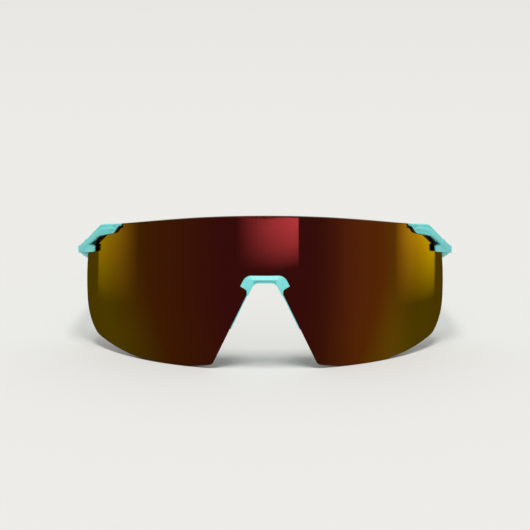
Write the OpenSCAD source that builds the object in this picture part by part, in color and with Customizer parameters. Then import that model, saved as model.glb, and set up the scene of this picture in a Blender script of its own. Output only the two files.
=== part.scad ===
// Rimless wrap-around sunglasses: one shield lens, a clip-in nose bridge with two soft pads,
// and two folding temples that hang from endpieces clamped on the lens corners.
// Millimetres, +Z up. The front of the lens looks along -Y, and left is the wearer's left, +X.
// The glasses stand as they do on a table, on the lens's two feet and the temple tips.

/* [Lens] */
// Width of the lens, edge to edge as seen from the front
lens_width = 140.3; // [134:0.2:144]
// Height of the lens at its middle, over the feet
lens_height = 58.4; // [54:0.1:63]
// Radius of the cylinder that the lens's front face follows
lens_radius = 83; // [80:0.5:90]
// Thickness of the lens
lens_thickness = 2; // [1.6:0.1:2.4]
// Lean of the lens, its top away from the viewer, in degrees
lens_lean = 3; // [0:0.5:5]
// Radius of the arched top edge
top_radius = 218; // [190:1:250]
// Radius of the rounded lower outer corners
corner_radius = 17.8; // [12:0.1:22]

/* [Lens feet] */
// Distance from the middle to the centre of each foot, the flat that the lens stands on
foot_x = 37.5; // [34:0.5:40]
// Width of each foot
foot_width = 6; // [4:0.5:8]
// Radius of the lower edge outside the foot
edge_radius_out = 62; // [50:1:75]
// Radius of the lower edge between the foot and the nose
edge_radius_in = 72; // [60:1:90]

/* [Nose] */
// Height of the top of the nose arch
nose_height = 33.5; // [30:0.1:36]
// Width of the arch at its top, before its corners are rounded
nose_width = 8.2; // [7:0.1:12]
// Flare of each side of the arch, in degrees from upright
nose_flare = 25.4; // [20:0.2:28]
// Radius of the arch's upper corners
nose_corner = 2.9; // [1.5:0.1:3.4]
// Thickness of the bridge between the nose and the lens's edge
bridge_rim = 0.5; // [0.3:0.05:0.8]
// Height of the bridge's front lip above the arch
lip_height = 2.7; // [2.2:0.1:3.4]
// Thickness of the lip in front of the lens
lip_thickness = 1.5; // [1:0.1:2]
// Thickness of the bridge behind the lens
bridge_back = 2.8; // [2.4:0.1:3.2]
// Length of each leg down the side of the nose
leg_length = 17; // [12:0.5:20]
// Length of each nose pad
pad_length = 15; // [11:0.5:17]
// Depth of each nose pad, front to back
pad_depth = 9; // [7:0.5:11]
// Thickness of each nose pad
pad_thickness = 2.6; // [2:0.1:3.2]
// Turn of the pads away from the nose, in degrees
pad_flare = 28; // [20:1:36]
// Radius of the pad core's pivot wire
core_radius = 0.6; // [0.5:0.05:0.7]

/* [Endpieces] */
// Length of the cover, from its pointed front end to the lens's side edge
cover_length = 26.2; // [24:0.1:28]
// Drop of the cover's pointed front end below the top of the lens
point_drop = 5.5; // [5:0.1:6.5]
// Thickness of the cover in front of the lens
cover_thickness = 1.6; // [1.2:0.1:2]
// Thickness of the black gasket between the lens and the cover
gasket_thickness = 1; // [0.6:0.1:1.2]
// Thickness of the clamp plate behind the lens
plate_thickness = 1.6; // [1.2:0.1:2]
// Radius of the clamp screws
screw_radius = 0.8; // [0.6:0.05:0.9]
// Radius of the clamp screws' heads
screw_head_radius = 1.5; // [1.2:0.1:1.6]
// Height of the clamp screws' heads
screw_head_height = 0.8; // [0.6:0.1:1]

/* [Hinges] */
// Width over the endpieces, the widest place
frame_width = 146.6; // [146:0.1:150]
// Distance of the hinge axis inside the widest place
hinge_inset = 4.2; // [4:0.05:4.6]
// Distance of the hinge axis behind the lens's side edge
hinge_setback = 6.4; // [6:0.1:8]
// Drop of the hinge's middle below the top of the lens
hinge_drop = 21.5; // [20:0.1:23]
// Radius of the hinge knuckles
knuckle_radius = 2.2; // [2:0.05:2.3]
// Height of the temple's knuckle
knuckle_height = 2.8; // [2.6:0.1:3.2]
// Thickness of each ear of the endpiece's fork
ear_thickness = 1.45; // [1.3:0.05:1.7]
// Radius of the hinge pin
pin_radius = 0.7; // [0.6:0.05:0.8]

/* [Temples] */
// Width of each temple at the hinge
arm_width = 5.1; // [4.8:0.1:5.2]
// Height of each temple at the hinge
arm_height = 6.2; // [5.8:0.1:6.8]
// Width of each temple at its tip sleeve
arm_tip_width = 3.4; // [3:0.1:4]
// Height of each temple at its tip sleeve
arm_tip_height = 5.2; // [4.6:0.1:6]
// Length of the temple's straight run behind the hinge
arm_run = 62; // [56:1:68]
// Slope of the straight run, in degrees
arm_slope = 8; // [5:0.5:10]
// Slope of the tip behind the ear, in degrees
tip_slope = 36; // [30:1:40]
// Radius of the bend over the ear
ear_radius = 60; // [45:1:70]
// Radius of the temple's inward curve, seen from above
inward_radius = 330; // [300:5:400]
// Length of the rubber sleeve on the tip
sleeve_length = 34; // [26:1:38]
// Thickness of the rubber sleeve's wall
sleeve_wall = 0.7; // [0.5:0.1:0.9]
// Length of the rubber grip on the inner side
grip_length = 30; // [20:1:36]
// Thickness of the grip
grip_thickness = 1.1; // [0.8:0.1:1.4]

/* [Fits] */
// Running clearance of a pin in its bore, on the radius
running = 0.05; // [0.02:0.01:0.08]
// Gap between pieces that seat on each other
seat = 0.03; // [0.02:0.01:0.06]
// Gap between faces that turn past each other
side_gap = 0.15; // [0.1:0.05:0.25]

/* [Hidden] */
$fn = 96;

turquoise = [0.45, 0.80, 0.78];
black = [0.05, 0.05, 0.055];
steel = [0.72, 0.73, 0.75];

// Space that every cut runs past the solid it cuts
past = 1;
// The leaning lens is cut from a ring this tall, which starts this far below the floor
ring_height = 1.8 * lens_height;
ring_start = -lens_height / 4;

// The corner frame stands on the lens's side: u runs along the lens towards the edge, z along its
// height, and w is the distance from the cylinder's axis
corner_in = 4.4;
corner_turn = asin((lens_width / 2 - corner_in) / lens_radius);
edge_y = lens_radius - sqrt(pow(lens_radius, 2) - pow(lens_width / 2, 2))
    + lens_height / 2 * tan(lens_lean);
edge_u = lens_width / 2 * cos(corner_turn)
    - sqrt(pow(lens_radius, 2) - pow(lens_width / 2, 2)) * sin(corner_turn);
// Height of the cover's pointed front end, in the leaning frame
point_z = lens_height - point_drop;
// Cuts through the lens from front to back start and end at these places along y
front_from = -lens_radius / 12;
front_to = edge_y + 2 * hinge_setback;

hinge_x = frame_width / 2 - hinge_inset;
hinge_y = edge_y + hinge_setback;
hinge_z = lens_height - hinge_drop;
fork_height = knuckle_height + 2 * (ear_thickness + side_gap);
fork_reach = knuckle_radius + 2 * side_gap;
arm_x = frame_width / 2 - arm_width / 2;
pin_head_radius = 1.25;
pin_head_height = 0.7;

// Unit vector at an angle
function heading(a) = [cos(a), sin(a)];
function unit(v) = v / norm(v);

// How far a rounded corner at b reaches along its two sides, towards a and c; each vertex is
// [x, y, radius]
function half_angle(a, b, c) = acos(unit([a.x - b.x, a.y - b.y]) * unit([c.x - b.x, c.y - b.y])) / 2;
function reach(a, b, c) = b.z / tan(half_angle(a, b, c));

// The points of that corner, its radius times a share
function fillet(a, b, c, share = 1, n = 8) =
    let (p = [b.x, b.y], u = unit([a.x, a.y] - p), v = unit([c.x, c.y] - p),
        centre = p + unit(u + v) * share * b.z / sin(half_angle(a, b, c)),
        s = p + u * share * reach(a, b, c) - centre, e = p + v * share * reach(a, b, c) - centre,
        from = atan2(s.y, s.x), turn = (atan2(e.y, e.x) - from + half_turns) % 360 - 180)
    [for (i = [0:n]) centre + share * b.z * heading(from + turn * i / n)];
// Added before taking a remainder, so that the turn is found between -180 and 180
half_turns = 3 * 180;

// An outline through vertices [x, y, radius], each corner rounded to its radius, or to less where
// a side is too short for both its corners
function outline(v) =
    let (n = len(v),
        r = [for (i = [0:n - 1]) reach(v[(i + n - 1) % n], v[i], v[(i + 1) % n])],
        fit = [for (i = [0:n - 1]) let (j = (i + 1) % n)
            min(1, norm([v[j].x - v[i].x, v[j].y - v[i].y]) / max(r[i] + r[j], tiny))])
    [for (i = [0:n - 1]) let (h = (i + n - 1) % n)
        each v[i].z == 0 ? [[v[i].x, v[i].y]]
            : fillet(v[h], v[i], v[(i + 1) % n], min(fit[h], fit[i]))];
// A length too small to see, in place of nothing in a division
tiny = 0.0001;

// Right half of a shape that is the same on both sides of x = 0, completed
function both_sides(v) = concat(v, [for (i = [len(v) - 1:-1:0]) [-v[i].x, v[i].y, v[i].z]]);

// side is 1 on the wearer's left, +X, and -1 on the right
module on_side(side) {
    mirror([side < 0 ? 1 : 0, 0, 0])
        children();
}

// Moves the origin to the middle of the footprint
module placed() {
    translate([0, -(front_y + back_y) / 2, 0])
        children();
}

module leaned() {
    rotate([-lens_lean, 0, 0])
        children();
}

// A stretch of the leaning ring between two radii
module ring(inner, outer) {
    leaned()
        translate([0, lens_radius, ring_start])
            difference() {
                cylinder(r = outer, h = ring_height, $fn = 180);
                translate([0, 0, -past])
                    cylinder(r = inner, h = ring_height + 2 * past, $fn = 180);
            }
}

// A flat outline drawn in x and z, pushed through along y
module through_y(points, from, to) {
    translate([0, to, 0])
        rotate([90, 0, 0])
            linear_extrude(to - from)
                polygon(points);
}

// A flat outline drawn in u and z on the lens's corner, pushed through along w
module through_corner(points, inner = lens_radius - 30, outer = lens_radius + 10) {
    leaned()
        translate([0, lens_radius, 0])
            rotate([0, 0, corner_turn])
                translate([0, -inner, 0])
                    rotate([90, 0, 0])
                        linear_extrude(outer - inner)
                            polygon(points);
}

// Places children on the lens's corner at u and z, their +Z pointing out of the lens
module at_corner(u, z, w) {
    leaned()
        translate([0, lens_radius, 0])
            rotate([0, 0, corner_turn])
                translate([u, -w, z])
                    rotate([90, 0, 0])
                        children();
}

// Outline of the nose arch in x and z, grown outwards
function arch(grow, low = -nose_height) =
    let (top = nose_height + grow, slope = tan(nose_flare),
        half = nose_width / 2 - slope * grow + grow / cos(nose_flare))
    both_sides([[half + slope * (top - low), low, 0], [half, top, nose_corner + grow]]);

// Lower edge and top of the lens, seen from the front
function front_outline() =
    let (x_out = 0.56 * lens_width, x_in = foot_x / 3,
        out_from = foot_x + foot_width / 2, in_from = foot_x - foot_width / 2)
    both_sides(concat(
        [for (i = [0:10]) let (x = x_in + (in_from - x_in) * i / 10)
            [x, edge_radius_in - sqrt(pow(edge_radius_in, 2) - pow(in_from - x, 2)), 0]],
        [for (i = [0:14]) let (x = out_from + (x_out - out_from) * i / 14)
            [x, edge_radius_out - sqrt(pow(edge_radius_out, 2) - pow(x - out_from, 2)), 0]],
        [for (i = [20:-1:0]) let (x = x_out * i / 20)
            [x, lens_height - top_radius + sqrt(pow(top_radius, 2) - x * x), 0]]));

// Vertices round the endpiece, given in cover lengths from the lens's side edge and the height of
// the cover's pointed end
function on_cover(vertices) = [for (v = vertices)
    [edge_u + v.x * cover_length, point_z + v.y * cover_length, v.z * cover_length]];

// The lens's side and upper corner on the corner frame, grown outwards: its lower part is given in
// lens heights, the part under the cover in cover lengths
side_low = [[-3.4, -1, 0], [-1, -0.1, 0]];
side_edge = [[-0.007, 0.123], [0.003, 0.5, 1]];
corner_edge = [[-0.046, -0.550, 0.305], [-0.130, -0.431, 0.076], [-0.672, -0.023, 0.000]];
function side_outline(grow = 0) = outline(concat(
    [for (v = side_low) v * lens_height],
    [[side_edge[0].x * lens_height + edge_u + grow, side_edge[0].y * lens_height, corner_radius]],
    [[side_edge[1].x * lens_height + edge_u + grow, side_edge[1].y * lens_height, lens_height]],
    [for (v = on_cover(corner_edge)) v + [grow, grow / 2, 0]],
    [[edge_u + corner_edge[2].x * cover_length + grow, 2 * lens_height, 0],
        [-3.4 * lens_height, 2 * lens_height, 0]]));

// The lens's ear, which stands up under the cover's front end
function ear_outline() = outline(on_cover([
    [-0.962, -0.210, 0], [-0.950, -0.103, 0.031], [-0.893, -0.050, 0.031],
    [-0.460, -0.103, 0], [-0.460, -0.324, 0]]));

// The lobe beside the nose, where the lower edge turns up into the arch: its corner's radius, the
// height of the edge there, and how steeply the edge rises from the foot
lobe_radius = 3.6;
lobe_z = 0.7;
lobe_rise = 0.06;

module lens() {
    color([0.33, 0.09, 0.05])
        placed()
            difference() {
                intersection() {
                    ring(lens_radius - lens_thickness, lens_radius);
                    union() {
                        through_y([for (p = front_outline()) [p.x, p.y]], front_from, front_to);
                        for (side = [-1, 1])
                            on_side(side)
                                through_corner(ear_outline(), lens_radius / 2);
                    }
                    on_side(1)
                        through_corner(side_outline(), -lens_radius);
                    on_side(-1)
                        through_corner(side_outline(), -lens_radius);
                }
                through_y(nose_cut(), front_from, front_to);
                for (side = [-1, 1])
                    on_side(side)
                        screw_holes(screw_radius + 4 * running);
            }
}

// What is cut away for the nose: the arch, with the lobes' corners rounded into the lower edge
function nose_cut() =
    let (top = nose_height + bridge_rim, slope = tan(nose_flare),
        half = nose_width / 2 - slope * bridge_rim + bridge_rim / cos(nose_flare),
        lobe_x = half + slope * (top - lobe_z))
    outline(both_sides([[foot_x, -nose_height, 0], [foot_x, lobe_z - lobe_rise * (foot_x - lobe_x), 0],
        [lobe_x, lobe_z, lobe_radius], [half, top, nose_corner + bridge_rim]]));

// Places of the two clamp screws of a corner, and where their blind bores end in the cover
screw_places = on_cover([[-0.611, -0.156, 0], [-0.225, -0.448, 0]]);
function bore_end(u) = sqrt(pow(lens_radius + gasket_thickness, 2) - u * u) + cover_thickness * 0.6;
module screw_holes(radius) {
    for (place = screw_places)
        at_corner(place.x, place.y, lens_radius / 2)
            cylinder(r = radius, h = bore_end(place.x) - lens_radius / 2);
}

// The cover's face: a pointed band that runs down and out to the hinge, with a small finger under it
function band_outline() = outline(on_cover([
    [-1.000, 0.000, 0.000], [-0.569, -0.053, 0.134], [-0.198, -0.317, 0.305],
    [0.160, -0.511, 0.031], [0.115, -0.580, 0.019], [-0.023, -0.546, 0.019],
    [-0.244, -0.511, 0.038], [-0.393, -0.487, 0.023], [-0.405, -0.393, 0.023],
    [-0.294, -0.382, 0.010], [-0.496, -0.246, 0.115], [-0.851, -0.170, 0.069],
    [-0.939, -0.080, 0.076]]));

// The gasket's face: inside the lens's edge, and a little outside the cover in the nook above the
// finger, where it shows black. Each vertex has the way that it moves when the outline shrinks.
gasket_face = [
    [-0.912, -0.071, 0.008], [-0.576, -0.113, 0.115], [-0.149, -0.439, 0.076],
    [-0.099, -0.511, 0.019], [-0.214, -0.508, 0.038], [-0.340, -0.490, 0.031],
    [-0.416, -0.427, 0.031], [-0.416, -0.355, 0.031], [-0.466, -0.294, 0.057],
    [-0.557, -0.237, 0.057], [-0.771, -0.191, 0.046], [-0.855, -0.134, 0.057]];
gasket_moves = [
    [2, -0.5, 0], [0.5, -1, 0], [-1, -0.5, 0],
    [-1, 1, 0], [0, 1, 0], [0.5, 1, 0],
    [1, 0, 0], [1, 0, 0], [0.5, 1, 0],
    [0, 1, 0], [1, 1, 0], [1, 0, 0]];
function gasket_outline(shrink = 0) = outline(on_cover(gasket_face) + shrink * gasket_moves);

// Section of the endpiece and temple at the hinge, in x and z from the temple's centre line
function arm_section(w, h) = [for (p = [[-1, -0.75], [-0.85, -0.95], [-0.5, -1], [0.2, -0.66],
    [0.94, -0.12], [1, 0.02], [0.92, 0.16], [0, 0.9], [-0.25, 1], [-0.85, 0.95], [-1, 0.75]])
    [p.x * w / 2, p.y * h / 2]];
// Gap between the lens's side edge and the endpiece behind it
edge_gap = 0.13;
// The endpiece's roof is sunk this far under the cover's face, and ends this far behind the plate
roof_sunk = 0.4;
roof_back = 1.8;
// Length of the roof ahead of the lens's side edge
roof_length = 14;
// The endpiece is at least this wide outside the lens's side edge, to carry the hinge
edge_wall = 3.15;
// How far the hinge block laps over the cover, front to back
block_lap = 1;

module endpiece(side) {
    color(turquoise)
        placed()
            on_side(side)
                difference() {
                    union() {
                        intersection() {
                            ring(lens_radius + gasket_thickness,
                                lens_radius + gasket_thickness + cover_thickness);
                            through_corner(band_outline());
                            within_width(front_from, front_to);
                        }
                        intersection() {
                            difference() {
                                through_corner(band_outline(),
                                    lens_radius - lens_thickness - plate_thickness - roof_back,
                                    lens_radius + gasket_thickness + cover_thickness - roof_sunk);
                                through_corner(side_outline(edge_gap));
                            }
                            within_width(edge_y - roof_length, hinge_y - fork_reach);
                        }
                        intersection() {
                            difference() {
                                hull()
                                    for (x = [arm_x, lens_width / 2 + edge_wall - arm_width / 2])
                                        through_y([for (p = arm_section(arm_width, arm_height))
                                            p + [x, hinge_z]], edge_y - block_lap, hinge_y - side_gap);
                                through_corner(side_outline(edge_gap));
                            }
                            union() {
                                translate([hinge_x, 0, 0])
                                    cube([frame_width, 2 * hinge_y, 2 * hinge_z]);
                                translate([hinge_x - 2 * arm_width, 0, 0])
                                    cube([frame_width, hinge_y - fork_reach, 2 * hinge_z]);
                            }
                        }
                        translate([hinge_x, hinge_y, hinge_z - fork_height / 2])
                            cylinder(r = knuckle_radius, h = fork_height);
                    }
                    knuckle_space();
                    translate([hinge_x, hinge_y, hinge_z - fork_height / 2 - past])
                        cylinder(r = pin_radius + seat / 2, h = fork_height + 2 * past);
                    translate([hinge_x, hinge_y, hinge_z + fork_height / 2 - pin_head_height])
                        cylinder(r = pin_head_radius + seat, h = pin_head_height + past);
                    screw_holes(screw_radius + seat / 2);
                }
}

// The space beside the nose, as far out as the glasses are wide
module within_width(from, to) {
    x = max(frame_width / 2, lens_width / 2 + edge_wall);
    translate([nose_width, from, 0])
        cube([x - nose_width, to - from, 2 * lens_height]);
}

// What the temple's knuckle sweeps between the ears, from open to folded
module knuckle_space() {
    translate([0, 0, hinge_z - knuckle_height / 2 - side_gap]) {
        translate([hinge_x, hinge_y, 0])
            cylinder(r = fork_reach, h = knuckle_height + 2 * side_gap);
        translate([hinge_x - 2 * arm_width, hinge_y - fork_reach, 0])
            cube([2 * arm_width, 3 * fork_reach, knuckle_height + 2 * side_gap]);
    }
}

module lens_gasket(side) {
    color(black)
        placed()
            on_side(side)
                difference() {
                    intersection() {
                        ring(lens_radius + seat, lens_radius + gasket_thickness - seat);
                        through_corner(gasket_outline());
                    }
                    screw_holes(screw_radius + 2 * running);
                }
}

// How far inside the gasket's outline the clamp plate's lies
plate_inset = 0.3;
module clamp_plate(side) {
    color(black)
        placed()
            on_side(side)
                difference() {
                    intersection() {
                        ring(lens_radius - lens_thickness - plate_thickness,
                            lens_radius - lens_thickness - seat);
                        through_corner(gasket_outline(plate_inset));
                    }
                    screw_holes(screw_radius + 2 * running);
                }
}

// Where a screw's head seats on the curved back of the clamp plate, and how long its shank is
function seat_w(u) = sqrt(pow(lens_radius - lens_thickness - plate_thickness, 2)
    - pow(abs(u) + screw_head_radius, 2)) - seat;
function screw_reach(u) = bore_end(u) - seat - seat_w(u);

module clamp_screws() {
    color(steel)
        placed()
            for (side = [-1, 1], place = screw_places)
                on_side(side)
                    at_corner(place.x, place.y, seat_w(place.x))
                        rotate_extrude()
                            polygon([[0, -screw_head_height], [screw_head_radius * 0.8, -screw_head_height],
                                [screw_head_radius, -screw_head_height * 0.6], [screw_head_radius, 0],
                                [screw_radius, 0], [screw_radius, screw_reach(place.x)],
                                [0, screw_reach(place.x)]]);
}

module hinge_pin(side) {
    color(steel)
        placed()
            on_side(side)
                translate([hinge_x, hinge_y, hinge_z]) {
                    translate([0, 0, -fork_height / 2])
                        cylinder(r = pin_radius, h = fork_height - pin_head_height);
                    translate([0, 0, fork_height / 2 - pin_head_height])
                        cylinder(r = pin_head_radius, h = pin_head_height);
                }
}

// The temple's path: how far in and down it is at a distance s behind the hinge
bend_start = arm_run * cos(arm_slope);
bend_end = bend_start + ear_radius * (sin(tip_slope) - sin(arm_slope));
bend_drop = bend_start * tan(arm_slope) + ear_radius * (cos(arm_slope) - cos(tip_slope));
// The sleeve's lowest corner would run this far below the floor, and is cut flat there
foot_cut = 0.5;
// Length of the sleeve's rounded end
sleeve_round = 1.5;
tip_drop = hinge_z + foot_cut - (arm_tip_height + sleeve_wall) / 2 * cos(tip_slope)
    + sleeve_round * tan(tip_slope);
arm_end = bend_end + (tip_drop - bend_drop) / tan(tip_slope);
function drop(s) = s < bend_start ? s * tan(arm_slope)
    : s < bend_end ? bend_start * tan(arm_slope) + ear_radius * (cos(arm_slope)
        - cos(asin(sin(arm_slope) + (s - bend_start) / ear_radius)))
    : bend_drop + (s - bend_end) * tan(tip_slope);
function slope(s) = s < bend_start ? arm_slope
    : s < bend_end ? asin(sin(arm_slope) + (s - bend_start) / ear_radius) : tip_slope;
function arm_centre(s) = [arm_x - inward_radius + sqrt(pow(inward_radius, 2) - s * s), hinge_y + s,
    hinge_z - drop(s)];
function arm_turn(s) = asin(s / inward_radius);
// Width and height of the temple taper evenly as far as the tip sleeve
taper_end = arm_end - sleeve_length * cos(tip_slope);
function taper(s, a, b) = a + (b - a) * min(1, max(0, s / taper_end));
function arm_w(s) = taper(s, arm_width, arm_tip_width);
function arm_h(s) = taper(s, arm_height, arm_tip_height);

// Points of a section placed square to the temple's path at s; the first one stands upright
function ring_points(s, section) =
    let (c = arm_centre(s), t = arm_turn(s), a = slope(s) * min(1, s / knuckle_radius / 2))
    [for (p = section) c + p.x * [cos(t), sin(t), 0] + p.y * [-sin(t) * sin(a), cos(t) * sin(a), cos(a)]];

// A solid that follows the temple's path through rings of points
module swept(rings) {
    n = len(rings[0]);
    m = len(rings);
    polyhedron(
        points = [for (r = rings) each r],
        faces = concat(
            [[for (i = [n - 1:-1:0]) i]],
            [for (k = [0:m - 2], i = [0:n - 1]) each
                [[k * n + i, k * n + (i + 1) % n, (k + 1) * n + i],
                    [k * n + (i + 1) % n, (k + 1) * n + (i + 1) % n, (k + 1) * n + i]]],
            [[for (i = [0:n - 1]) (m - 1) * n + i]]));
}

// A rounded oblong section
function oblong(w, h) = [for (p = [[-1, -0.7], [-0.7, -0.93], [0, -1], [0.7, -0.93], [1, -0.7],
    [1, 0.7], [0.7, 0.93], [0, 1], [-0.7, 0.93], [-1, 0.7]]) [p.x * w / 2, p.y * h / 2]];

// The steps along a stretch of the temple, closer together over the ear
function steps(from, to, n) = [for (i = [0:n]) from + (to - from) * i / n];

tongue_width = arm_tip_width - 2 * sleeve_wall;
tongue_height = arm_tip_height - 2 * sleeve_wall;
tongue_end = arm_end - 5;
// The web from the knuckle to the temple is this much narrower than the knuckle on each side, and
// reaches this far into the temple
web_inset = 0.1;
web_overlap = 1.5;
module tongue(grow, from, to) {
    swept([for (s = steps(from, to, 10))
        ring_points(s, oblong(tongue_width + 2 * grow, tongue_height + 2 * grow))]);
}

grip_end = taper_end - 4;
module grip(grow) {
    swept([for (s = steps(grip_end - grip_length - grow, grip_end + grow, 10))
        ring_points(s, [for (p = oblong(grip_thickness + 2 * grow, arm_h(s) * 0.52 + 2 * grow))
            p - [arm_w(s) / 2, 0]])]);
}

module temple_arm(side) {
    color(turquoise)
        placed()
            on_side(side)
                difference() {
                    union() {
                        difference() {
                            swept([for (s = concat([side_gap], steps(6, taper_end, 16)))
                                ring_points(s, arm_section(arm_w(s), arm_h(s)))]);
                            translate([hinge_x, hinge_y, hinge_z - arm_height])
                                cylinder(r = fork_reach, h = 2 * arm_height);
                            translate([hinge_x - 2 * arm_width, hinge_y - past, hinge_z - arm_height])
                                cube([2 * arm_width, past + fork_reach, 2 * arm_height]);
                        }
                        translate([hinge_x, hinge_y, hinge_z - knuckle_height / 2])
                            cylinder(r = knuckle_radius, h = knuckle_height);
                        translate([hinge_x - knuckle_radius + web_inset, hinge_y,
                            hinge_z - knuckle_height / 2])
                            cube([2 * (knuckle_radius - web_inset), fork_reach + web_overlap,
                                knuckle_height]);
                        tongue(0, taper_end - 1, tongue_end);
                    }
                    translate([hinge_x, hinge_y, hinge_z - knuckle_height])
                        cylinder(r = pin_radius + running, h = 2 * knuckle_height);
                    grip(seat);
                }
}

module temple_grip(side) {
    color(black)
        placed()
            on_side(side)
                grip(0);
}

function sleeve_end_ring() = ring_points(arm_end, oblong(arm_tip_width * 0.8, arm_tip_height * 0.8));
module temple_tip(side) {
    color(black)
        placed()
            on_side(side)
                difference() {
                    swept(concat(
                        [for (s = steps(taper_end + seat, arm_end - sleeve_round, 9))
                            ring_points(s, oblong(arm_tip_width + sleeve_wall,
                                arm_tip_height + sleeve_wall))],
                        [sleeve_end_ring()]));
                    tongue(seat, taper_end - 2, tongue_end + seat);
                    below_floor();
                }
}

module below_floor() {
    translate([-frame_width / 2, 0, -hinge_z])
        cube([frame_width, 2 * arm_end, hinge_z]);
}

// How far the glasses reach forwards and backwards, which sets the origin
front_y = nose_height * tan(lens_lean) - lip_thickness;
back_y = max([for (p = sleeve_end_ring()) p.y]);

// The bridge's lip over the front of the lens
function lip_outline() =
    let (half = nose_width / 2)
    both_sides([[half + 0.7 * lip_height, nose_height - 1.55 * lip_height, 0],
        [half + lip_height, nose_height - 0.95 * lip_height, lip_height / 2],
        [half + 1.9 * lip_height, nose_height - 0.45 * lip_height, 0.15],
        [half + 1.1 * lip_height, nose_height + lip_height, 1.3 * lip_height]]);

// A stretch beside the arch, from the arch's side outwards, down the length of a leg
function leg_outline(width, length) =
    let (slope = tan(nose_flare), half = nose_width / 2 + slope * leg_start,
        top = nose_height - leg_start, foot = top - length)
    outline([[half - past, top, 0], [half - past + slope * length, foot, 0],
        [half + slope * length + width, foot, 1.2], [half + width, top, 0]]);
leg_width = 3.2;

// How far down the arch's side the legs start
leg_start = 1.5;

// Pushes a flat shape in x and z through along y
module push_y(from, to) {
    translate([0, to, 0])
        rotate([90, 0, 0])
            linear_extrude(to - from)
                children();
}

module arch_shape(grow, low = -nose_height) {
    polygon(outline(arch(grow, low)));
}

// The pivot of a nose pad: a line within the leg, parallel to the arch's side and to the lens
core_length = 8;
// The core's flat tang, which carries the pad, and the slot in the leg that it swings in
tang_height = 4;
tang_reach = 5;
tang_space = 2 * core_radius + 2 * side_gap;
// Distance from the pivot to the back of the leg, and down the leg
pivot_depth = bridge_back / 2;
pivot_down = leg_length * 0.55;
pivot_x = nose_width / 2 + tan(nose_flare) * (leg_start + pivot_down) + leg_width * 0.55;
pivot_y = lens_radius
    - sqrt(pow(lens_radius - lens_thickness - bridge_back + pivot_depth, 2) - pow(pivot_x, 2));
module pad_pivot() {
    leaned()
        translate([pivot_x, pivot_y, nose_height - leg_start - pivot_down])
            rotate([0, -nose_flare, 0])
                children();
}

module nose_bridge() {
    back = lens_radius - lens_thickness - seat;
    color(turquoise)
        placed()
            difference() {
                union() {
                    intersection() {
                        ring(lens_radius + seat, lens_radius + lip_thickness);
                        push_y(front_from, front_to)
                            difference() {
                                polygon(outline(lip_outline()));
                                arch_shape(0);
                            }
                    }
                    intersection() {
                        ring(back - bridge_back / 2, lens_radius + lip_thickness / 2);
                        push_y(front_from, front_to)
                            difference() {
                                arch_shape(bridge_rim - seat, nose_height - 2.5);
                                arch_shape(0);
                            }
                    }
                    intersection() {
                        ring(back - bridge_back, back);
                        push_y(front_from, front_to)
                            difference() {
                                union() {
                                    polygon(outline(lip_outline()));
                                    for (side = [-1, 1])
                                        scale([side, 1])
                                            polygon(leg_outline(leg_width, leg_length));
                                }
                                arch_shape(0);
                            }
                    }
                }
                for (side = [-1, 1])
                    on_side(side)
                        pad_pivot() {
                            cylinder(r = core_radius + running, h = core_length + 2 * seat, center = true);
                            rotate([0, 0, -pad_flare])
                                translate([-tang_space / 2, 0, -tang_height / 2 - side_gap])
                                    cube([tang_space, 2 * bridge_back, tang_height + 2 * side_gap]);
                        }
            }
}

// The pad's face bulges this much, and its middle lies this far behind the pivot
pad_crown = 0.5;
pad_reach = pad_depth / 2 + pivot_depth / cos(pad_flare) + 1;

module pad_core(side) {
    color(steel)
        placed()
            on_side(side)
                pad_pivot() {
                    cylinder(r = core_radius, h = core_length, center = true);
                    rotate([0, 0, -pad_flare])
                        translate([-core_radius / 2, 0, -tang_height / 2])
                            cube([core_radius, tang_reach, tang_height]);
                }
}

module nose_pad(side) {
    color(turquoise)
        placed()
            on_side(side)
                pad_pivot()
                    rotate([0, 0, -pad_flare])
                        difference() {
                            swept([for (t = [-1, -0.93, -0.78, -0.5, 0, 0.5, 0.78, 0.93, 1])
                                let (full = sqrt(1 - pow(abs(t) * 0.94, 3)))
                                [for (p = oblong(pad_thickness * full, pad_depth * (0.35 + 0.65 * full)))
                                    [p.x + pad_crown * (1 - pow(p.y / pad_depth * 2, 2)), p.y + pad_reach,
                                        -t * pad_length / 2]]]);
                            translate([-core_radius / 2 - seat, 0, -tang_height / 2 - seat])
                                cube([core_radius + 2 * seat, tang_reach + seat, tang_height + 2 * seat]);
                        }
}

lens();
nose_bridge();
nose_pad(1);  // nose_pad_left
nose_pad(-1);  // nose_pad_right
pad_core(1);  // pad_core_left
pad_core(-1);  // pad_core_right
endpiece(1);  // endpiece_left
endpiece(-1);  // endpiece_right
lens_gasket(1);  // lens_gasket_left
lens_gasket(-1);  // lens_gasket_right
clamp_plate(1);  // clamp_plate_left
clamp_plate(-1);  // clamp_plate_right
clamp_screws();
hinge_pin(1);  // hinge_pin_left
hinge_pin(-1);  // hinge_pin_right
temple_arm(1);  // temple_arm_left
temple_arm(-1);  // temple_arm_right
temple_grip(1);  // temple_grip_left
temple_grip(-1);  // temple_grip_right
temple_tip(1);  // temple_tip_left
temple_tip(-1);  // temple_tip_right
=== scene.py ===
# %% [markdown]
# # Rimless sport sunglasses
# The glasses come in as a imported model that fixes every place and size. This lesson dresses that
# frame: it makes each visible piece again with the finish and the small shapes that the real one
# has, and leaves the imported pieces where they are.

# %% Load the frame
import math

import bmesh
import bpy
from mathutils import Matrix, Vector


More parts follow.
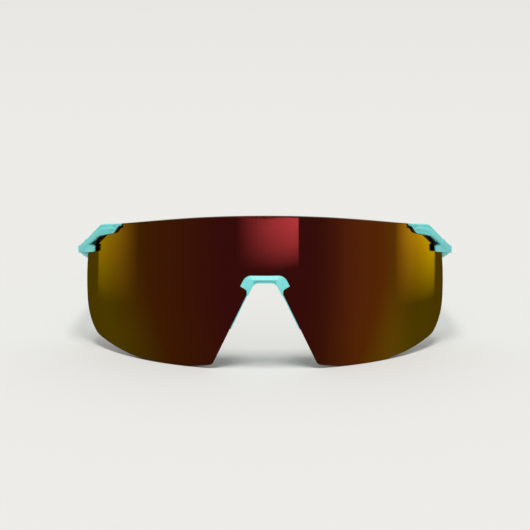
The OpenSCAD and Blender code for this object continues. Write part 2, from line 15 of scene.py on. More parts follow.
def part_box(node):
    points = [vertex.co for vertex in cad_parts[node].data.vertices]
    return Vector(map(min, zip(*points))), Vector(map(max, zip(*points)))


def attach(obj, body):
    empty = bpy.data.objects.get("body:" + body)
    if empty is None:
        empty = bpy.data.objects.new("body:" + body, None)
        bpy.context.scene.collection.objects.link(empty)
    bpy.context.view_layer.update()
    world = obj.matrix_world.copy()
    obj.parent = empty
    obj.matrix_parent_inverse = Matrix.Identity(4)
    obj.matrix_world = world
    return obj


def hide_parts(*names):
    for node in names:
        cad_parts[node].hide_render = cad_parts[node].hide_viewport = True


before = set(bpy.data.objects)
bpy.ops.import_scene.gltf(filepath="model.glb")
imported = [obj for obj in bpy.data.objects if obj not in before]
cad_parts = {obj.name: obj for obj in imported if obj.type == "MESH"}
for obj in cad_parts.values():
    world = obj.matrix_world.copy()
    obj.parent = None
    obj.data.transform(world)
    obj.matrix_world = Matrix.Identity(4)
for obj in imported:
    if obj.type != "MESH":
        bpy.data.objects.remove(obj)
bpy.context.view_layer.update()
print("pieces in the frame:", len(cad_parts))

# %% [markdown]
# ## Sizes
# The sizes below are the ones that the frame was made with, in millimetres. The lens is part of a
# cylinder that leans back a little, so most of the front is drawn flat first and then bent on to
# that cylinder. Everything is turned to metres at the last moment, when a point gets its place.

# %% Sizes of the lens in millimetres
MM = 0.001
LENS_WIDTH, LENS_HEIGHT = 140.3, 58.4
LENS_RADIUS, LENS_THICKNESS = 83, 2
LEAN = math.radians(3)
TOP_RADIUS, CORNER_RADIUS = 218, 17.8
FOOT_X, FOOT_WIDTH = 37.5, 6
EDGE_RADIUS_OUT, EDGE_RADIUS_IN = 62, 72
NOSE_HEIGHT, NOSE_WIDTH, NOSE_CORNER = 33.5, 8.2, 2.9
NOSE_FLARE = math.radians(25.4)
NOSE_SLOPE = math.tan(NOSE_FLARE)
BRIDGE_RIM = 0.5
COVER_THICKNESS, GASKET_THICKNESS = 1.6, 1
POINT_Z = LENS_HEIGHT - 5.5
CORNER_TURN = math.asin((LENS_WIDTH / 2 - 4.4) / LENS_RADIUS)
EDGE_U = (LENS_WIDTH / 2 * math.cos(CORNER_TURN)
          - math.sqrt(LENS_RADIUS**2 - (LENS_WIDTH / 2) ** 2) * math.sin(CORNER_TURN))
EDGE_Y = (LENS_RADIUS - math.sqrt(LENS_RADIUS**2 - (LENS_WIDTH / 2) ** 2)
          + LENS_HEIGHT / 2 * math.tan(LEAN))

# %% Sizes of the hinges and temples in millimetres
FRAME_WIDTH = 146.6
ARM_WIDTH, ARM_HEIGHT = 5.1, 6.2
TIP_WIDTH, TIP_HEIGHT = 3.4, 5.2
ARM_X = (FRAME_WIDTH - ARM_WIDTH) / 2
HINGE_X, HINGE_Y, HINGE_Z = FRAME_WIDTH / 2 - 4.2, EDGE_Y + 6.4, LENS_HEIGHT - 21.5
RUN, RUN_SLOPE, TIP_SLOPE = 62, math.radians(8), math.radians(36)
EAR_RADIUS, INWARD_RADIUS = 60, 330
SLEEVE_LENGTH, SLEEVE_WALL, SLEEVE_ROUND = 34, 0.7, 1.5

pin_low, pin_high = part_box("hinge_pin_left")
SHIFT = (pin_low[1] + pin_high[1]) / 2 / MM - HINGE_Y
print("the row's origin lies", round(-SHIFT, 2), "mm behind the drawing's")

# %% Helpers for points


def leaned(x, y, z):
    """A point of the upright drawing, leant back with the lens, in metres."""
    return Vector((x, y * math.cos(LEAN) + z * math.sin(LEAN) + SHIFT,
                   -y * math.sin(LEAN) + z * math.cos(LEAN))) * MM


def on_front(x, z, depth):
    """A point seen at x and z from the front, this far behind the lens's front face."""
    angle = math.asin(x / LENS_RADIUS)
    cut = CORNER_TURN * min(1, max(0, (abs(x) - 22) / 30)) * math.copysign(1, x)
    reach = LENS_RADIUS * math.cos(angle - cut)
    along = reach - math.sqrt(reach**2 - 2 * LENS_RADIUS * depth + depth**2)
    y = LENS_RADIUS - LENS_RADIUS * math.cos(angle) + along * math.cos(cut)
    upright = (z + y * math.sin(LEAN)) / math.cos(LEAN)
    return leaned(x - along * math.sin(cut), y, upright)


def on_corner(u, z, depth):
    """A point drawn at u and z on the lens's left corner, this far behind its front face."""
    out = math.sqrt((LENS_RADIUS - depth) ** 2 - u**2)
    return leaned(u * math.cos(CORNER_TURN) + out * math.sin(CORNER_TURN),
                  LENS_RADIUS + u * math.sin(CORNER_TURN) - out * math.cos(CORNER_TURN), z)


def rounded(vertices, steps=8):
    """An outline through [x, y, radius] vertices, with each corner rounded to its radius."""
    points = []
    for i, (x, y, radius) in enumerate(vertices):
        here = Vector((x, y))
        if not radius:
            points.append(here)
            continue
        back = (Vector(vertices[i - 1][:2]) - here).normalized()
        on = (Vector(vertices[(i + 1) % len(vertices)][:2]) - here).normalized()
        half = back.angle(on) / 2
        centre = here + (back + on).normalized() * radius / math.sin(half)
        start = here + back * radius / math.tan(half) - centre
        turn = start.angle_signed(here + on * radius / math.tan(half) - centre)
        for k in range(steps + 1):
            angle = math.atan2(start.y, start.x) - turn * k / steps
            points.append(centre + radius * Vector((math.cos(angle), math.sin(angle))))
    return points


# %% Helpers for meshes


def deselect():
    """Nothing selected, so that an operator acts only on the piece in hand."""
    if bpy.context.object and bpy.context.object.mode == "EDIT":
        bpy.ops.object.mode_set(mode="OBJECT")
    bpy.ops.object.select_all(action="DESELECT")


def work_on(piece):
    """Selects this piece alone and opens it for editing, with all of it selected."""
    deselect()
    bpy.context.view_layer.objects.active = piece
    piece.select_set(True)
    bpy.ops.object.mode_set(mode="EDIT")
    bpy.ops.mesh.select_all(action="SELECT")


def done():
    bpy.ops.object.mode_set(mode="OBJECT")


def filled(name, points):
    """A flat filled outline, from a circle whose vertices are moved to the points."""
    deselect()
    bpy.ops.mesh.primitive_circle_add(vertices=len(points), radius=1, fill_type="NGON")
    piece = bpy.context.object
    piece.name = piece.data.name = name
    for vertex, point in zip(piece.data.vertices, points):
        vertex.co = (point[0], point[1], 0)
    work_on(piece)
    bpy.ops.mesh.normals_make_consistent(inside=False)
    done()
    return piece


def select_edges(piece, wanted):
    """Selects the edges, in edit mode, for which wanted(edge) is true."""
    bpy.ops.mesh.select_all(action="DESELECT")
    bpy.ops.mesh.select_mode(type="EDGE")
    for edge in bmesh.from_edit_mesh(piece.data).edges:
        if wanted(edge):
            edge.select_set(True)
    bmesh.update_edit_mesh(piece.data)


def thicken(piece, front, back):
    """Extrudes a filled outline to a plate between two depths behind the lens's front."""
    for vertex in piece.data.vertices:
        vertex.co.z = front
    work_on(piece)
    bpy.ops.mesh.extrude_region_move(TRANSFORM_OT_translate={"value": (0, 0, back - front)})
    bpy.ops.mesh.select_all(action="SELECT")
    bpy.ops.mesh.normals_make_consistent(inside=False)
    done()


def sharp(edge):
    return edge.calc_face_angle(0) > math.radians(50)


def soften(piece, width, segments=2, wanted=sharp):
    """Bevels the sharp edges of a plate that is still flat."""
    work_on(piece)
    select_edges(piece, wanted)
    bpy.ops.mesh.bevel(offset=width, segments=segments, profile=0.5, affect="EDGES",
                       clamp_overlap=False)
    done()


def strips(piece, step):
    """Cuts a flat plate into upright strips, so that it can bend."""
    work_on(piece)
    low = min(v.co.x for v in piece.data.vertices)
    high = max(v.co.x for v in piece.data.vertices)
    count = math.ceil((high - low) / step)
    for i in range(1, count):
        bpy.ops.mesh.select_all(action="SELECT")
        bpy.ops.mesh.bisect(plane_co=(low + (high - low) * i / count, 0, 0), plane_no=(1, 0, 0))
    done()


def bend(piece, place):
    """Moves each vertex of a flat drawing, in millimetres, to its real place in metres."""
    for vertex in piece.data.vertices:
        vertex.co = place(*vertex.co)
    work_on(piece)
    bpy.ops.mesh.remove_doubles(threshold=0.002 * MM)
    bpy.ops.mesh.normals_make_consistent(inside=False)
    done()


def loft(name, rings):
    """A closed skin through rings of points, extruded ring by ring from a filled circle."""
    deselect()
    bpy.ops.mesh.primitive_circle_add(vertices=len(rings[0]), radius=1, fill_type="NGON")
    piece = bpy.context.object
    piece.name = piece.data.name = name
    for vertex, point in zip(piece.data.vertices, rings[0]):
        vertex.co = point
    work_on(piece)
    for last, ring in zip(rings, rings[1:]):
        bpy.ops.mesh.extrude_region_move()
        mesh = bmesh.from_edit_mesh(piece.data)
        picked = sorted((v for v in mesh.verts if v.select), key=lambda v: v.index)
        for vertex in picked:
            nearest = min(range(len(last)), key=lambda i: (vertex.co - last[i]).length_squared)
            vertex.co = ring[nearest]
        bmesh.update_edit_mesh(piece.data)
    bpy.ops.mesh.select_all(action="SELECT")
    bpy.ops.mesh.normals_make_consistent(inside=False)
    done()
    return piece


def smooth(piece, angle=35):
    """Smooth shading up to an angle, with normals that follow the large faces."""
    deselect()
    piece.select_set(True)
    bpy.context.view_layer.objects.active = piece
    bpy.ops.object.shade_smooth_by_angle(angle=math.radians(angle))
    weighted = piece.modifiers.new("even shine", "WEIGHTED_NORMAL")
    weighted.keep_sharp = True
    bpy.ops.object.modifier_apply(modifier=weighted.name)


def joined(name, pieces):
    """Several closed skins as one object."""
    deselect()
    for piece in pieces:
        piece.select_set(True)
    bpy.context.view_layer.objects.active = pieces[0]
    bpy.ops.object.join()
    pieces[0].name = pieces[0].data.name = name
    return pieces[0]


def turn_over(piece):
    """Mirrors a mesh at x = 0, with its faces still pointing outwards."""
    for vertex in piece.data.vertices:
        vertex.co.x = -vertex.co.x
    work_on(piece)
    bpy.ops.mesh.flip_normals()
    done()


def other_side(piece):
    """A copy of a left piece for the wearer's right, with its own mesh."""
    deselect()
    twin = piece.copy()
    twin.data = piece.data.copy()
    twin.name = twin.data.name = piece.name.replace("left", "right")
    bpy.context.scene.collection.objects.link(twin)
    turn_over(twin)
    smooth(twin)
    return twin


def copied(name, node, edge, behind=None, ahead=None):
    """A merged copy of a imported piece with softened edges, or its part behind or ahead of a y."""
    deselect()
    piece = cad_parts[node].copy()
    piece.data = piece.data.copy()
    piece.name = piece.data.name = name
    bpy.context.scene.collection.objects.link(piece)
    piece.parent = None
    work_on(piece)
    bpy.ops.mesh.remove_doubles(threshold=0.001 * MM)
    bpy.ops.mesh.dissolve_limited(angle_limit=math.radians(0.5))
    if behind is not None or ahead is not None:
        bpy.ops.mesh.select_all(action="SELECT")
        bpy.ops.mesh.bisect(plane_co=(0, ahead if behind is None else behind, 0),
                            plane_no=(0, 1, 0), use_fill=True, clear_inner=behind is not None,
                            clear_outer=ahead is not None)
    select_edges(piece, lambda e: e.is_convex and e.calc_face_angle(0) > math.radians(38))
    bpy.ops.mesh.bevel(offset=edge * MM, segments=2, profile=0.5, affect="EDGES",
                       clamp_overlap=True)
    done()
    smooth(piece)
    return piece


def settle(piece, finish, node, body):
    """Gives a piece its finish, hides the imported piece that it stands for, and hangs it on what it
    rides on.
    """
    piece.data.materials.clear()
    piece.data.materials.append(finish)
    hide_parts(node)
    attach(piece, body)
    print(piece.name, "has", len(piece.data.polygons), "faces")


def settle_pair(piece, finish, node, body=None):
    """Settles a left piece and its copy on the right, on the front or on a body of each side."""
    for made, side in ((other_side(piece), "_right"), (piece, "_left")):
        settle(made, finish, node + side, body + side if body else "front")


# %% Helpers for materials


def colour(code):
    """An sRGB hex colour as the linear values that Blender works in."""
    parts = [int(code[i:i + 2], 16) / 255 for i in (1, 3, 5)]
    return [c / 12.92 if c <= 0.04045 else ((c + 0.055) / 1.055) ** 2.4 for c in parts] + [1]


def add(tree, kind, settings=(), values=(), links=()):
    """Adds a node, sets its properties and inputs, and links its inputs to outputs."""
    node = tree.nodes.new(kind)
    for key, value in dict(settings).items():
        setattr(node, key, value)
    for key, value in dict(values).items():
        node.inputs[key].default_value = value
    for key, output in dict(links).items():
        tree.links.new(output, node.inputs[key])
    return node


def material(name):
    """A new material with an empty node tree, its tree, and where its patterns are read."""
    made = bpy.data.materials.new(name)
    made.use_nodes = True
    tree = made.node_tree
    tree.nodes.clear()
    print("finish:", name)
    return made, tree, add(tree, "ShaderNodeTexCoord").outputs["Object"]


def set_stops(node, stops):
    """Gives a colour ramp these (place, colour) stops in place of its own two."""
    ramp = node.color_ramp
    ramp.elements.remove(ramp.elements[1])
    ramp.elements[0].position, ramp.elements[0].color = stops[0]
    for at, shown in stops[1:]:
        ramp.elements.new(at).color = shown


def grey(share):
    return share, share, share, 1


def per_metre(width):
    """The scale of a pattern whose marks are this many millimetres wide."""
    return 1 / (width * MM)


# %% [markdown]
# ## Lens finish
# The lens is polycarbonate with a thin mirror coating laid on it in a vacuum. Such a coating
# reflects red head on and turns to orange, gold and olive as it is seen more from the side, so
# the colour runs outwards over the curved shield. The colours are therefore laid along the
# distance from the middle, and a little turned by the height, on a smooth metallic surface. Real
# coatings vary slightly in thickness, and a worn lens has faint wipe marks: two wide noises do
# that, and a sparse fine one lays a little dust.

# %% Mirror-coated polycarbonate: it gives sharp reflections tinted by the coating
lens_finish, tree, place = material("vacuum_coated_polycarbonate_mirror")
split = add(tree, "ShaderNodeSeparateXYZ", links={0: place})
# Both ramps run from the lens's middle to this far out. Low on the lens the colours of the
# middle give way sooner: by 10 mm at the floor, which is DROOP times the depth squared
HALF_SPAN, DROOP_FROM, DROOP = 75, 40, 6.4
CLOUD_WIDTH, CLOUD_SHIFT = 22, 2.5
side = add(tree, "ShaderNodeMath", {"operation": "ABSOLUTE"}, links={0: split.outputs["X"]})
below = add(tree, "ShaderNodeMath", {"operation": "SUBTRACT", "use_clamp": True},
            {0: DROOP_FROM * MM}, {1: split.outputs["Z"]})
square = add(tree, "ShaderNodeMath", {"operation": "POWER"}, {1: 2}, {0: below.outputs[0]})
drift = add(tree, "ShaderNodeMath", {"operation": "MULTIPLY_ADD"}, {1: DROOP},
            {0: square.outputs[0], 2: side.outputs[0]})
clouds = add(tree, "ShaderNodeTexNoise", values={"Scale": per_metre(CLOUD_WIDTH), "Detail": 1},
             links={"Vector": place})
drift = add(tree, "ShaderNodeMath", {"operation": "MULTIPLY_ADD"}, {1: CLOUD_SHIFT * MM},
            {0: clouds.outputs[0], 2: drift.outputs[0]})
outwards, across = [
    add(tree, "ShaderNodeMath", {"operation": "DIVIDE", "use_clamp": True}, {1: HALF_SPAN * MM},
        {0: distance}) for distance in (drift.outputs[0], split.outputs["X"])]

# %% The colours of the coating, in millimetres from its middle
# Red over the middle, orange where the shield turns away, olive gold at its ends
COATING = [(18, "#390E0C"), (46, "#421D03"), (66, "#503E01")]
tint = add(tree, "ShaderNodeValToRGB", links={0: outwards.outputs[0]})
set_stops(tint, [(at / HALF_SPAN, colour(code)) for at, code in COATING])
# One soft belt on the wearer's left is up to 1.9 times brighter. It is painted light: a brighter
# side laid into the coating's colour, matched to how the lens looks there, and whether the
# coating or the light causes it isn't known
PAINTED_LIGHT_BELT = [(18, 0), (36, 0.9), (45, 0.9), (60, 0)]
painted_light_gain = add(tree, "ShaderNodeValToRGB", links={0: across.outputs[0]})
painted_light_gain.color_ramp.interpolation = "EASE"
set_stops(painted_light_gain, [(at / HALF_SPAN, grey(more)) for at, more in PAINTED_LIGHT_BELT])
painted_light_gain = add(tree, "ShaderNodeMath", {"operation": "ADD"}, {1: 1}, {0: painted_light_gain.outputs[0]})
coating = add(tree, "ShaderNodeVectorMath", {"operation": "SCALE"}, links={
    0: tint.outputs[0], "Scale": painted_light_gain.outputs[0]})
print("coating:", len(COATING), "colours and a belt from", PAINTED_LIGHT_BELT[0][0], "to", PAINTED_LIGHT_BELT[-1][0], "mm")

# %% Wipe marks, dust and shine
wipes = add(tree, "ShaderNodeMapping", {"vector_type": "POINT"}, {"Scale": (1, 1, 5),
            "Rotation": (0, 0.5, 0)}, {"Vector": place})
marks = add(tree, "ShaderNodeTexNoise", values={"Scale": per_metre(9), "Detail": 3}, links={
    "Vector": wipes.outputs[0]})
blur = add(tree, "ShaderNodeMapRange", values={"To Min": 0.015, "To Max": 0.05}, links={
    "Value": marks.outputs[0]})
dust = add(tree, "ShaderNodeTexNoise", values={"Scale": per_metre(0.5), "Detail": 0}, links={
    "Vector": place})
specks = add(tree, "ShaderNodeMapRange", values={"From Min": 0.72, "From Max": 0.8}, links={
    "Value": dust.outputs[0]})
relief = add(tree, "ShaderNodeBump", values={"Strength": 0.15, "Distance": 0.01 * MM}, links={
    "Height": specks.outputs[0]})
shine = add(tree, "ShaderNodeBsdfPrincipled", values={"Metallic": 1.0,
            "Specular Tint": (0.55, 0.5, 0.45, 1)}, links={
    "Base Color": coating.outputs[0], "Roughness": blur.outputs[0], "Normal": relief.outputs[0]})
add(tree, "ShaderNodeOutputMaterial", links={0: shine.outputs[0]})

# %% [markdown]
# ## Turquoise finishes
# The frame parts are injection-moulded nylon, made in a steel mould with a fine eroded grain, so
# they shine softly and unevenly, and their edges are polished a little lighter by handling. The
# pads are a softer elastomer of the same colour, more matt, with a faint bloom.

# %% Satin nylon: the eroded mould gives a soft, slightly broken shine
nylon, tree, place = material("satin_moulded_nylon_turquoise")
clouds = add(tree, "ShaderNodeTexNoise", values={"Scale": per_metre(7), "Detail": 2}, links={
    "Vector": place})
body = add(tree, "ShaderNodeMix", {"data_type": "RGBA"}, {6: colour("#61CAC7"),
           7: colour("#7ADDDA")}, {0: clouds.outputs[0]})
rim = add(tree, "ShaderNodeNewGeometry")
worn = add(tree, "ShaderNodeMapRange", values={"From Min": 0.53, "From Max": 0.62, "To Max": 0.35},
           links={"Value": rim.outputs["Pointiness"]})
paint = add(tree, "ShaderNodeMix", {"data_type": "RGBA"}, {7: colour("#A6EAE6")},
            {0: worn.outputs[0], 6: body.outputs[2]})
# The real grain is about 0.1 mm wide: it is drawn at 0.3 mm, so that it shows
grain = add(tree, "ShaderNodeTexNoise", values={"Scale": per_metre(0.3), "Detail": 2}, links={
    "Vector": place})
gloss = add(tree, "ShaderNodeMapRange", values={"To Min": 0.38, "To Max": 0.52}, links={
    "Value": clouds.outputs[0]})
relief = add(tree, "ShaderNodeBump", values={"Strength": 0.6, "Distance": 0.05 * MM}, links={
    "Height": grain.outputs[0]})
shine = add(tree, "ShaderNodeBsdfPrincipled", values={"IOR": 1.53}, links={
    "Base Color": paint.outputs[2], "Roughness": gloss.outputs[0], "Normal": relief.outputs[0]})
add(tree, "ShaderNodeOutputMaterial", links={0: shine.outputs[0]})

# %% Soft elastomer: its bloom gives a velvety, matt edge
elastomer, tree, place = material("soft_moulded_elastomer_turquoise")
clouds = add(tree, "ShaderNodeTexNoise", values={"Scale": per_metre(4), "Detail": 3}, links={
    "Vector": place})
paint = add(tree, "ShaderNodeMix", {"data_type": "RGBA"}, {6: colour("#66C9C4"),
            7: colour("#76D3CE")}, {0: clouds.outputs[0]})
grain = add(tree, "ShaderNodeTexNoise", values={"Scale": per_metre(0.45), "Detail": 2}, links={
    "Vector": place})
gloss = add(tree, "ShaderNodeMapRange", values={"To Min": 0.58, "To Max": 0.75}, links={
    "Value": clouds.outputs[0]})
relief = add(tree, "ShaderNodeBump", values={"Strength": 0.5, "Distance": 0.04 * MM}, links={
    "Height": grain.outputs[0]})
shine = add(tree, "ShaderNodeBsdfPrincipled", values={"IOR": 1.45, "Sheen Weight": 0.12,
            "Sheen Roughness": 0.4}, links={
    "Base Color": paint.outputs[2], "Roughness": gloss.outputs[0], "Normal": relief.outputs[0]})
add(tree, "ShaderNodeOutputMaterial", links={0: shine.outputs[0]})

# %% [markdown]
# ## Black and steel finishes
# The gaskets, sleeves and grips are moulded rubber: nearly black, dull, with a fine stipple that
# holds a trace of grey dust. The clamp plates are a harder black nylon. Pins and screws are turned
# from stainless steel, so the tool leaves rings round their axes and the shine is streaked.

# %% Moulded rubber: a stipple and dust give a dull dark grey sheen
rubber, tree, place = material("matt_moulded_rubber_black")
clouds = add(tree, "ShaderNodeTexNoise", values={"Scale": per_metre(3), "Detail": 4}, links={
    "Vector": place})
paint = add(tree, "ShaderNodeMix", {"data_type": "RGBA"}, {6: colour("#070708"),
            7: colour("#121214")}, {0: clouds.outputs[0]})
grain = add(tree, "ShaderNodeTexVoronoi", values={"Scale": per_metre(0.5)}, links={
    "Vector": place})
gloss = add(tree, "ShaderNodeMapRange", values={"To Min": 0.6, "To Max": 0.8}, links={
    "Value": clouds.outputs[0]})
relief = add(tree, "ShaderNodeBump", values={"Strength": 0.5, "Distance": 0.05 * MM}, links={
    "Height": grain.outputs["Distance"]})
shine = add(tree, "ShaderNodeBsdfPrincipled", values={"IOR": 1.52, "Sheen Weight": 0.08}, links={
    "Base Color": paint.outputs[2], "Roughness": gloss.outputs[0], "Normal": relief.outputs[0]})
add(tree, "ShaderNodeOutputMaterial", links={0: shine.outputs[0]})

# %% Black nylon: smoother than rubber, with a satin shine
plate_nylon, tree, place = material("fine_moulded_nylon_black")
clouds = add(tree, "ShaderNodeTexNoise", values={"Scale": per_metre(2.5), "Detail": 3}, links={
    "Vector": place})
paint = add(tree, "ShaderNodeMix", {"data_type": "RGBA"}, {6: colour("#111113"),
            7: colour("#1C1C1F")}, {0: clouds.outputs[0]})
gloss = add(tree, "ShaderNodeMapRange", values={"To Min": 0.38, "To Max": 0.55}, links={
    "Value": clouds.outputs[0]})
grain = add(tree, "ShaderNodeTexNoise", values={"Scale": per_metre(0.3), "Detail": 2}, links={
    "Vector": place})
relief = add(tree, "ShaderNodeBump", values={"Strength": 0.35, "Distance": 0.03 * MM}, links={
    "Height": grain.outputs[0]})
shine = add(tree, "ShaderNodeBsdfPrincipled", values={"IOR": 1.53}, links={
    "Base Color": paint.outputs[2], "Roughness": gloss.outputs[0], "Normal": relief.outputs[0]})
add(tree, "ShaderNodeOutputMaterial", links={0: shine.outputs[0]})

# %% Turned steel: tool marks 0.15 mm apart streak the shine across the axis
steel, tree, place = material("turned_stainless_steel")
across = add(tree, "ShaderNodeMapping", {"vector_type": "POINT"}, {"Scale": (0.2, 0.2, 1)},
             {"Vector": place})
marks = add(tree, "ShaderNodeTexNoise", values={"Scale": per_metre(0.15), "Detail": 3}, links={
    "Vector": across.outputs[0]})
paint = add(tree, "ShaderNodeMix", {"data_type": "RGBA"}, {6: colour("#B4B6BA"),
            7: colour("#D2D3D6")}, {0: marks.outputs[0]})
gloss = add(tree, "ShaderNodeMapRange", values={"To Min": 0.2, "To Max": 0.38}, links={
    "Value": marks.outputs[0]})
relief = add(tree, "ShaderNodeBump", values={"Strength": 0.3, "Distance": 0.01 * MM}, links={
    "Height": marks.outputs[0]})
shine = add(tree, "ShaderNodeBsdfPrincipled", values={"Metallic": 1.0}, links={
    "Base Color": paint.outputs[2], "Roughness": gloss.outputs[0], "Normal": relief.outputs[0]})
add(tree, "ShaderNodeOutputMaterial", links={0: shine.outputs[0]})

# %% [markdown]
# ## Lens
# One curved shield. Its outline is drawn flat as seen from the front, thickened, its rim is
# polished round, and then it is cut in strips and bent on to the cylinder.

# %% The outline of the lens


def arc_rise(radius, away):
    return radius - math.sqrt(radius**2 - away**2)


def top_edge(x):
    return LENS_HEIGHT - arc_rise(TOP_RADIUS, x)


def low_edge(x):
    inner, outer = FOOT_X - FOOT_WIDTH / 2, FOOT_X + FOOT_WIDTH / 2
    if x < inner:
        return arc_rise(EDGE_RADIUS_IN, inner - x)
    return arc_rise(EDGE_RADIUS_OUT, x - outer) if x > outer else 0


def corner_to_front(u, z):
    """Where a point of the corner drawing is seen from the front."""
    out = math.sqrt(LENS_RADIUS**2 - u**2)
    x = u * math.cos(CORNER_TURN) + out * math.sin(CORNER_TURN)
    y = LENS_RADIUS + u * math.sin(CORNER_TURN) - out * math.cos(CORNER_TURN)
    return x, z * math.cos(LEAN) - y * math.sin(LEAN)


def from_edge(vertices):
    """Vertices given from the lens's side edge and the cover's point, on the corner drawing."""
    return [(EDGE_U + u, POINT_Z + z, radius) for u, z, radius in vertices]


def side_edge():
    """The side of the lens and its cut-off upper corner, seen from the front, bottom to top."""
    low, rise = -0.1 * LENS_HEIGHT, 0.123 * LENS_HEIGHT
    corner = rounded([(-LENS_HEIGHT, low, 0), (EDGE_U - 0.4, rise, CORNER_RADIUS),
                      (EDGE_U + 0.17, LENS_HEIGHT / 2, LENS_HEIGHT)]
                     + from_edge([(-1.2, -14.4, 8), (-3.4, -11.3, 2), (-17.6, -0.6, 0)]), 16)[1:]
    last = corner[-1]
    corner = corner[:-1] + [corner[-2].lerp(last, k / 12) for k in range(1, 13)]
    seen = [corner_to_front(*p) for p in corner]
    return [p for p in seen if low_edge(p[0]) < p[1] < top_edge(p[0])]


LOBE_Z, LOBE_RISE, LOBE_RADIUS = 0.7, 0.06, 3.6
side = side_edge()
top = NOSE_HEIGHT + BRIDGE_RIM
arch_half = NOSE_WIDTH / 2 - NOSE_SLOPE * BRIDGE_RIM + BRIDGE_RIM / math.cos(NOSE_FLARE)
lobe_x = arch_half + NOSE_SLOPE * (top - LOBE_Z)
lobe = rounded([(arch_half, top, 0), (lobe_x, LOBE_Z, LOBE_RADIUS),
                (FOOT_X, LOBE_Z - LOBE_RISE * (FOOT_X - lobe_x), 0)], 10)[1:-1]
lobe = [p for p in lobe if p.y > low_edge(p.x)]
arch = rounded([(0, top, 0), (arch_half, top, NOSE_CORNER + BRIDGE_RIM),
                (lobe[0].x, lobe[0].y, 0)], 10)[:-1]
arch += [arch[-1].lerp(lobe[0], k / 10) for k in range(1, 10)]
low = [(x, max(low_edge(x), LOBE_Z - LOBE_RISE * (x - lobe_x))) for x in
       [lobe[-1].x + (side[0][0] - lobe[-1].x) * k / 40 for k in range(1, 40)]]
crown = [(x, top_edge(x)) for x in [side[-1][0] * (1 - k / 40) for k in range(41)]]
right_half = [tuple(p) for p in arch] + [tuple(p) for p in lobe] + low + side + crown
outline = right_half + [(-x, z) for x, z in reversed(right_half[1:-1])]
print("lens outline:", len(outline), "points")

# %% The lens, with its rim polished round
lens = filled("lens_shield", outline)
thicken(lens, 0, LENS_THICKNESS)
soften(lens, 0.3, 3)
strips(lens, 1.5)
bend(lens, on_front)
smooth(lens)
settle(lens, lens_finish, "lens", "front")

# %% [markdown]
# ## Endpieces
# Each endpiece is a hook moulded in one: a pointed cover that lies on the lens's upper corner with
# a small finger under it, a roof that wraps over the lens's edge, and the hinge block. The cover
# is drawn flat, thickened, given a broad bevel that catches the light, and bent on to the lens. A
# low ridge runs down its length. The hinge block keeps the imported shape, which its fit depends on.

# %% The left cover, its roof and ridge


def corner_plate(name, vertices, front, back, bevels, slant=None):
    """A plate on the lens's left corner between two depths, its (edges, width) bevelled.

    The slant is a sloping cut at the plate's end: a place from the edge, and what it faces."""
    plate = filled(name, rounded(from_edge(vertices)))
    thicken(plate, front, back)
    if slant:
        (u, z, depth), faces = slant
        work_on(plate)
        bpy.ops.mesh.bisect(plane_co=(EDGE_U + u, POINT_Z + z, depth), plane_no=faces,
                            use_fill=True, clear_outer=True)
        done()
    for wanted, width in bevels:
        soften(plate, width, 3, wanted)
    strips(plate, 0.8)
    bend(plate, on_corner)
    return plate


def edges_at(depth):
    """Picks the sharp edges of a flat plate that lie at this depth."""
    return lambda e: sharp(e) and all(abs(v.co.z - depth) < 0.01 for v in e.verts)


COVER_FACE = -(GASKET_THICKNESS + COVER_THICKNESS)
COVER = [(-24.4, -0.2, 0.25), (-14.9, -1.4, 3.5), (-5.2, -8.3, 8), (2.0, -12.3, 0.5),
         (1.2, -13.6, 0.5), (-0.6, -14.3, 0.5), (-3.4, -12.6, 2), (-7.0, -9.85, 1.5),
         (-12.3, -6.35, 3), (-20.6, -4.3, 1.8)]
FINGER = [(-8.9, -10.6, 0.6), (-4.0, -9.9, 0), (-0.4, -12.2, 0), (-0.5, -14.2, 0.3),
          (-6.4, -13.4, 1), (-8.6, -13.0, 0.6)]
cover = corner_plate("cover", COVER, COVER_FACE, -GASKET_THICKNESS,
                     [(edges_at(COVER_FACE), 0.4), (edges_at(-GASKET_THICKNESS), 0.1)],
                     ((-24.4, -0.2, -1.25), (-0.733, -0.68, -1)))
finger = corner_plate("finger", FINGER, COVER_FACE + 0.12, -GASKET_THICKNESS + 0.02,
                      [(edges_at(COVER_FACE + 0.12), 0.35)], ((-8.9, -10.6, -1.4), (-1, -0.12, -1)))
SKIRT = [(-24.35, -0.25, 0.2), (-17.0, -1.15, 0), (-17.0, -1.9, 0), (-23.6, -1.2, 0.2)]
skirt = corner_plate("skirt", SKIRT, -GASKET_THICKNESS - 0.1, -0.15, [])
ROOF = [(-15.6, -1.55, 0), (-14.8, -1.65, 3), (-5.2, -8.45, 8), (-1.6, -10.45, 0),
        (-3.15, -11.15, 2), (-15.2, -2.15, 0)]
ROOF_END = [(-5.2, -8.5, 0), (1.4, -12.0, 0.4), (0.9, -13.4, 0.4), (-0.95, -14.1, 0),
            (-3.15, -11.15, 2), (-5.6, -9.35, 0)]
roof = corner_plate("roof", ROOF, COVER_FACE + 0.4, 5.4, [(edges_at(5.4), 0.3)],
                    ((-15.8, -1.6, -1.6), (-1, 0, 0.75)))
roof_end = corner_plate("roof_end", ROOF_END, COVER_FACE + 0.4, 0.7, [(edges_at(0.7), 0.2)])

RIDGE = [(-22.6, -1.9), (-20, -2.5), (-15.5, -3.6), (-11.5, -6.0), (-7.5, -8.7), (-3.5, -11.2),
         (0.3, -13.2)]
rings = []
for i in range(49):
    share = i / 48 * (len(RIDGE) - 1)
    k = min(int(share), len(RIDGE) - 2)
    u, z = Vector(RIDGE[k]).lerp(Vector(RIDGE[k + 1]), share - k)
    swell = math.sin(math.pi * min(1, max(0.02, i / 48)))
    half, height = 0.25 + 0.65 * swell**0.5, 0.1 + 0.28 * swell**0.5
    rings.append([on_corner(EDGE_U + u + 0.45 * half * math.cos(a),
                            POINT_Z + z + half * math.cos(a),
                            COVER_FACE + 0.15 - (height + 0.15) * math.sin(a))
                  for a in [math.tau * j / 16 for j in range(16)]])
ridge = loft("ridge", rings)

